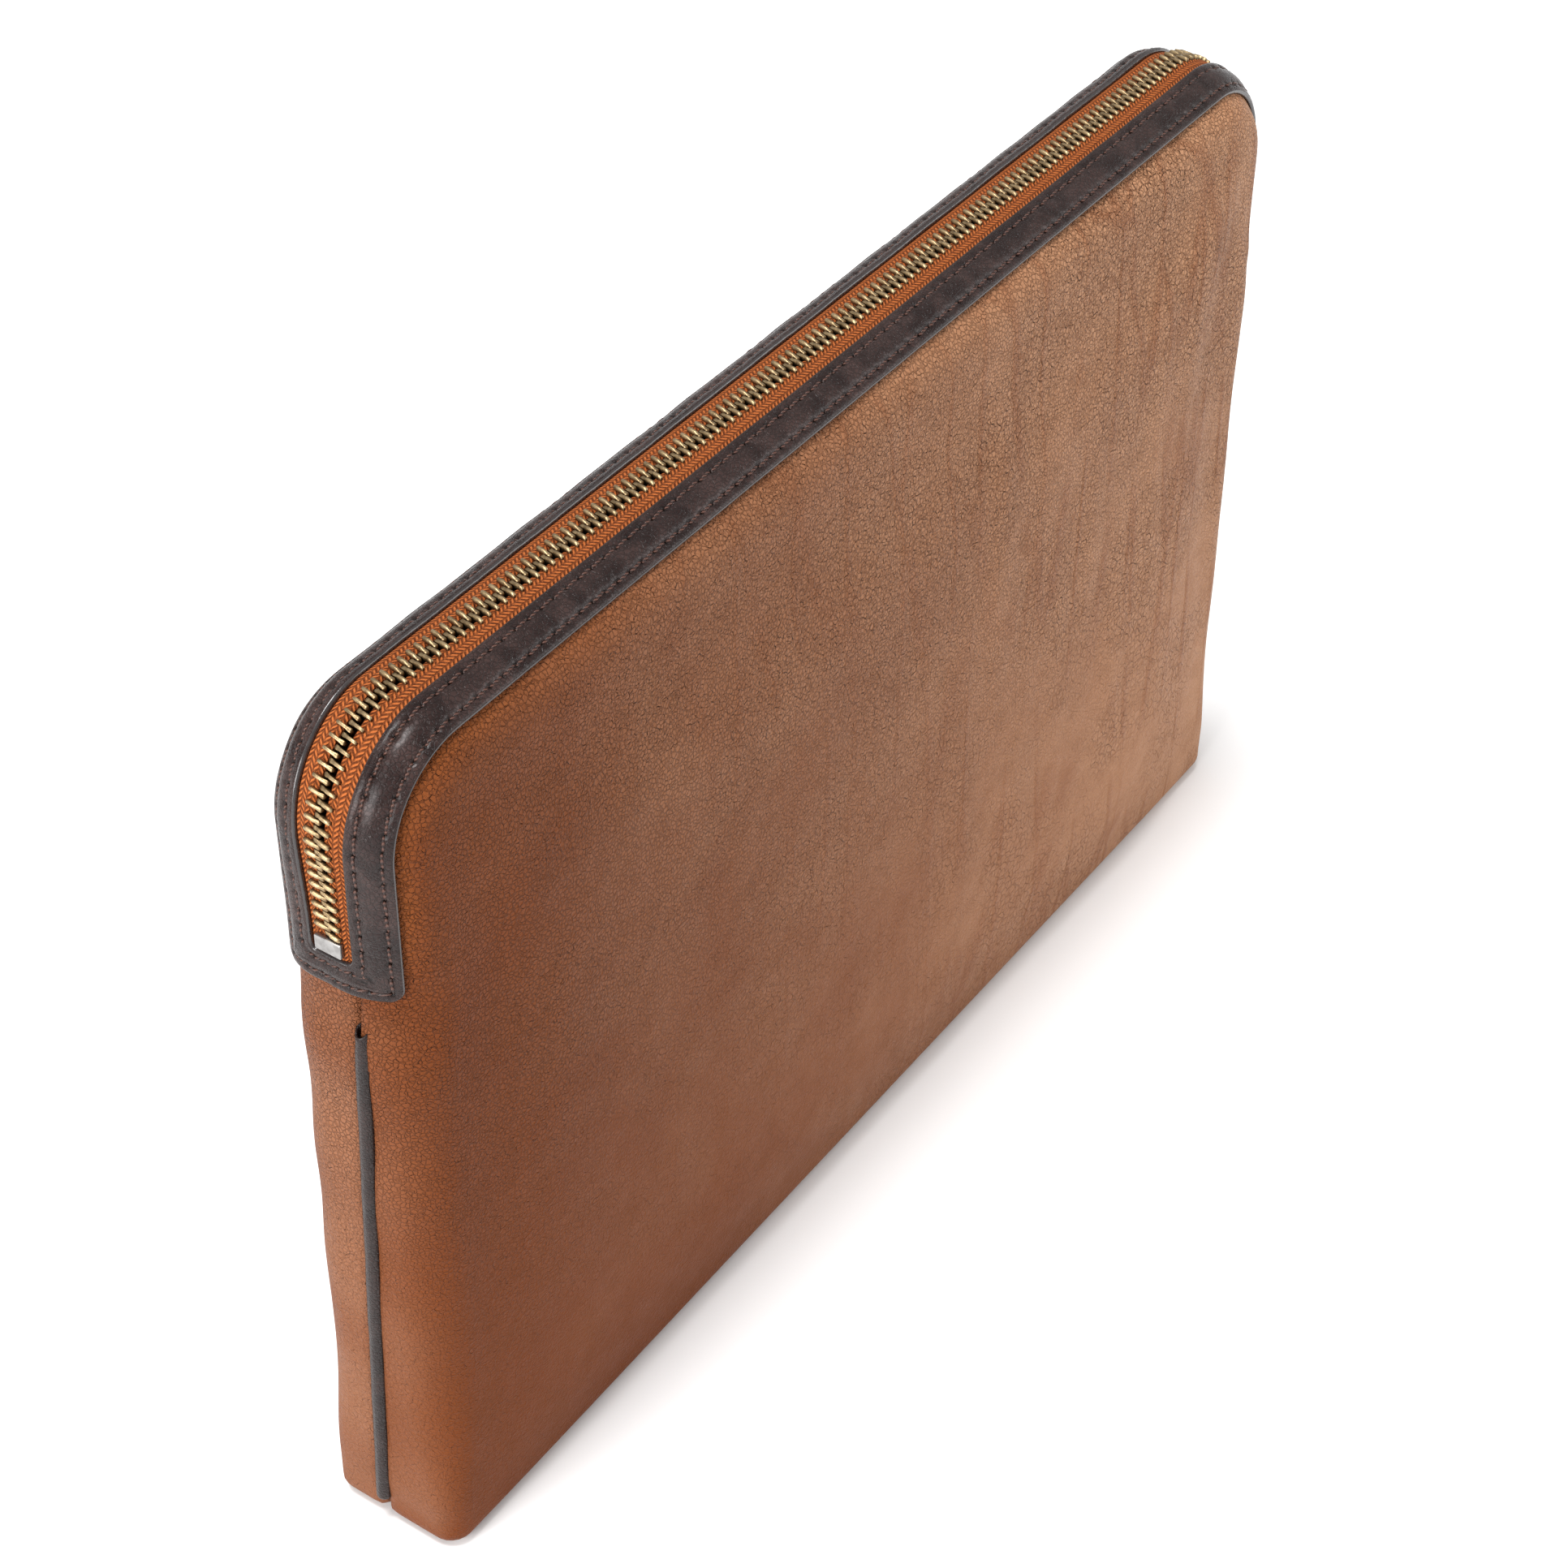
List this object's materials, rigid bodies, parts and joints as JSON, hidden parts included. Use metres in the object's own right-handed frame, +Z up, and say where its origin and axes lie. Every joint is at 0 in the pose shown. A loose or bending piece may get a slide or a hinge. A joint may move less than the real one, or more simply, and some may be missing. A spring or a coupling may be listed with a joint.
{
  "type": "laptop sleeve",
  "caption": "Padded leather laptop sleeve standing on its long edge, with a metal zip along the top and down both ends, dark zip trim and piped end seams.",
  "frame": {"origin": "middle of the base, on the surface that the sleeve stands on", "axes": "+X along the long side towards the end where the slider is parked, -Y out of the front face, +Z up to the zip"},
  "size_m": [0.3505, 0.035, 0.2272],
  "materials": {
    "body_leather": "smooth waxed full-grain leather",
    "trim_leather": "dark brown satin leather with painted edges",
    "zip_tape": "herringbone woven tape",
    "zip_metal": "antique brass",
    "stop_metal": "plain steel",
    "slider_metal": "antique brass",
    "thread": "waxed thread",
    "padding": "closed-cell foam",
    "lining": "brushed lining cloth"
  },
  "bodies": {
    "root": {"back_panel": "body_leather", "front_panel": "body_leather", "back_padding": "padding", "front_padding": "padding", "base_padding": "padding", "back_lining": "lining", "front_lining": "lining", "piping_left": "trim_leather", "piping_right": "trim_leather", "zip_trim_back": "trim_leather", "zip_trim_end_left": "trim_leather", "zip_trim_end_right": "trim_leather", "zip_tape_back": "zip_tape", "zip_teeth_back": "zip_metal", "zip_bottom_stop": "stop_metal", "zip_top_stops": "stop_metal", "trim_stitches_back": "thread", "end_stitches_left": "thread", "end_stitches_right": "thread"},
    "front_flap": {"front_panel_upper": "body_leather", "front_padding_upper": "padding", "front_lining_upper": "lining", "zip_trim_front": "trim_leather", "zip_tape_front": "zip_tape", "zip_teeth_front": "zip_metal", "trim_stitches_front": "thread"},
    "slider": {"zip_slider": "slider_metal", "slider_bridge": "slider_metal"},
    "pull": {"pull_tab": "slider_metal"}
  },
  "joints": [
    {"name": "mouth_fold", "type": "hinge", "parent": "root", "child": "front_flap", "pos_m": [0, -0.0176, 0.1828], "axis": [0.999, 0, 0.0445], "range_deg": [0, 30], "stiffness_Nm_per_rad": 0.05, "deforming": ["zip_tape_front", "zip_teeth_front"]},
    {"name": "zip_slider_corner", "type": "hinge", "parent": "root", "child": "slider", "pos_m": [0.1465, 0.0022, 0.201], "axis": [0, -1, 0], "range_deg": [0, 90], "deforming": ["zip_teeth_back"]},
    {"name": "pull_swing", "type": "hinge", "parent": "slider", "child": "pull", "pos_m": [0.1755, 0.0022, 0.201], "axis": [0, -1, 0], "range_deg": [0, 170]}
  ]
}
